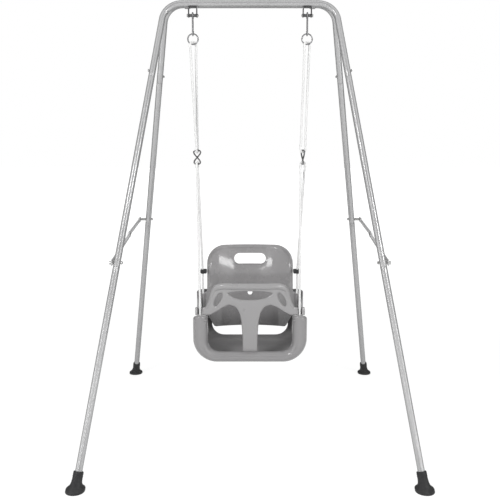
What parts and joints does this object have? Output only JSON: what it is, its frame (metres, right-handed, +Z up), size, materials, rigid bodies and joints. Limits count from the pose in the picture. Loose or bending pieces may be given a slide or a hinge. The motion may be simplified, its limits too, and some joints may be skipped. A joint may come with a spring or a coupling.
{
  "type": "toddler swing set",
  "caption": "Folding steel A-frame stand with a bucket seat on ropes: backrest with handle hole, sliding T-shaped guard, snap hooks, rings and jointed side braces.",
  "frame": {"origin": "on the floor, at the middle of the four feet", "axes": "+Z up, +X to the right of a viewer who faces the child, -Y to the front, where the child faces"},
  "size_m": [1.05, 1.13, 1.4526],
  "materials": {
    "grey_steel": "satin grey paint on steel tube",
    "bolts": "bright zinc plated steel",
    "bright_hardware": "polished plated steel wire",
    "seat_plastic": "smooth mid-grey moulded plastic",
    "guard_plastic": "smooth light grey moulded plastic",
    "black_plastic": "black moulded plastic",
    "black_rubber": "matt black rubber",
    "white_rope": "white braided rope"
  },
  "bodies": {
    "front_frame": {"front_top_frame": "grey_steel", "front_middle_leg_left": "grey_steel", "front_middle_leg_right": "grey_steel", "front_lower_leg_left": "grey_steel", "front_lower_leg_right": "grey_steel", "front_foot_left": "black_rubber", "front_foot_right": "black_rubber", "front_joint_bolt_left": "bolts", "front_joint_bolt_right": "bolts", "front_brace_bolt_left": "bolts", "front_brace_bolt_right": "bolts", "hinge_band_left": "grey_steel", "hinge_band_right": "grey_steel", "hanger_stirrup_left": "grey_steel", "hanger_stirrup_right": "grey_steel", "hanger_pin_left": "bolts", "hanger_pin_right": "bolts"},
    "rear_frame": {"rear_top_frame": "grey_steel", "rear_middle_leg_left": "grey_steel", "rear_middle_leg_right": "grey_steel", "rear_lower_leg_left": "grey_steel", "rear_lower_leg_right": "grey_steel", "rear_foot_left": "black_rubber", "rear_foot_right": "black_rubber", "rear_joint_bolt_left": "bolts", "rear_joint_bolt_right": "bolts", "rear_brace_bolt_left": "bolts", "rear_brace_bolt_right": "bolts"},
    "swing": {"seat_shell": "seat_plastic", "backrest": "seat_plastic", "pin_bushing_left": "black_plastic", "pin_bushing_right": "black_plastic", "snap_hook_left": "bright_hardware", "snap_hook_right": "bright_hardware", "ring_left": "bright_hardware", "ring_right": "bright_hardware", "upper_rope_left": "white_rope", "upper_rope_right": "white_rope", "rope_connector_left": "bright_hardware", "rope_connector_right": "bright_hardware", "lower_rope_left": "white_rope", "lower_rope_right": "white_rope", "rope_clip_left": "black_plastic", "rope_clip_right": "black_plastic", "rope_knot_front_left": "white_rope", "rope_knot_front_right": "white_rope", "rope_knot_rear_left": "white_rope", "rope_knot_rear_right": "white_rope"},
    "guard": {"guard": "guard_plastic"},
    "gate_left": {"hook_gate_left": "bright_hardware"},
    "brace_front_left": {"brace_front_arm_left": "grey_steel", "knuckle_rivet_left": "bolts"},
    "brace_rear_left": {"brace_rear_arm_left": "grey_steel", "brace_end_cap_left": "bolts"},
    "gate_right": {"hook_gate_right": "bright_hardware"},
    "brace_front_right": {"brace_front_arm_right": "grey_steel", "knuckle_rivet_right": "bolts"},
    "brace_rear_right": {"brace_rear_arm_right": "grey_steel", "brace_end_cap_right": "bolts"}
  },
  "joints": [
    {"name": "frame_fold", "type": "hinge", "parent": "front_frame", "child": "rear_frame", "pos_m": [0, 0.01195, 1.4395], "axis": [-1, 0, 0], "range_deg": [0, 37]},
    {"name": "brace_fold_left", "type": "hinge", "parent": "front_frame", "child": "brace_front_left", "pos_m": [-0.4188, -0.3104, 0.62139], "axis": [1, 0, 0], "range_deg": [-0.5, 63]},
    {"name": "brace_knuckle_left", "type": "hinge", "parent": "brace_front_left", "child": "brace_rear_left", "pos_m": [-0.4205, 0.02577, 0.66964], "axis": [1, 0, 0], "range_deg": [-164, 0.5]},
    {"name": "brace_fold_right", "type": "hinge", "parent": "front_frame", "child": "brace_front_right", "pos_m": [0.4188, -0.3104, 0.62139], "axis": [1, 0, 0], "range_deg": [-0.5, 63]},
    {"name": "brace_knuckle_right", "type": "hinge", "parent": "brace_front_right", "child": "brace_rear_right", "pos_m": [0.4205, 0.02577, 0.66964], "axis": [1, 0, 0], "range_deg": [-164, 0.5]},
    {"name": "swing", "type": "hinge", "parent": "front_frame", "child": "swing", "pos_m": [0, -0.01195, 1.401], "axis": [1, 0, 0], "range_deg": [-40, 40]},
    {"name": "guard_slide", "type": "slide", "parent": "swing", "child": "guard", "axis": [0, 0.2366, 0.9716], "range_m": [0, 0.12]},
    {"name": "hook_gate_left", "type": "hinge", "parent": "swing", "child": "gate_left", "pos_m": [-0.18925, -0.00365, 1.3535], "axis": [1, 0, 0], "range_deg": [0, 18], "stiffness_Nm_per_rad": 0.02, "springref_deg": -11.46},
    {"name": "hook_gate_right", "type": "hinge", "parent": "swing", "child": "gate_right", "pos_m": [0.18925, -0.00365, 1.3535], "axis": [1, 0, 0], "range_deg": [0, 18], "stiffness_Nm_per_rad": 0.02, "springref_deg": -11.46}
  ],
  "couplings": [
    {"joint": "brace_fold_left", "follows": "frame_fold", "ratio": 1.6865},
    {"joint": "brace_knuckle_left", "follows": "frame_fold", "ratio": -4.413},
    {"joint": "brace_fold_right", "follows": "frame_fold", "ratio": 1.6865},
    {"joint": "brace_knuckle_right", "follows": "frame_fold", "ratio": -4.413}
  ]
}
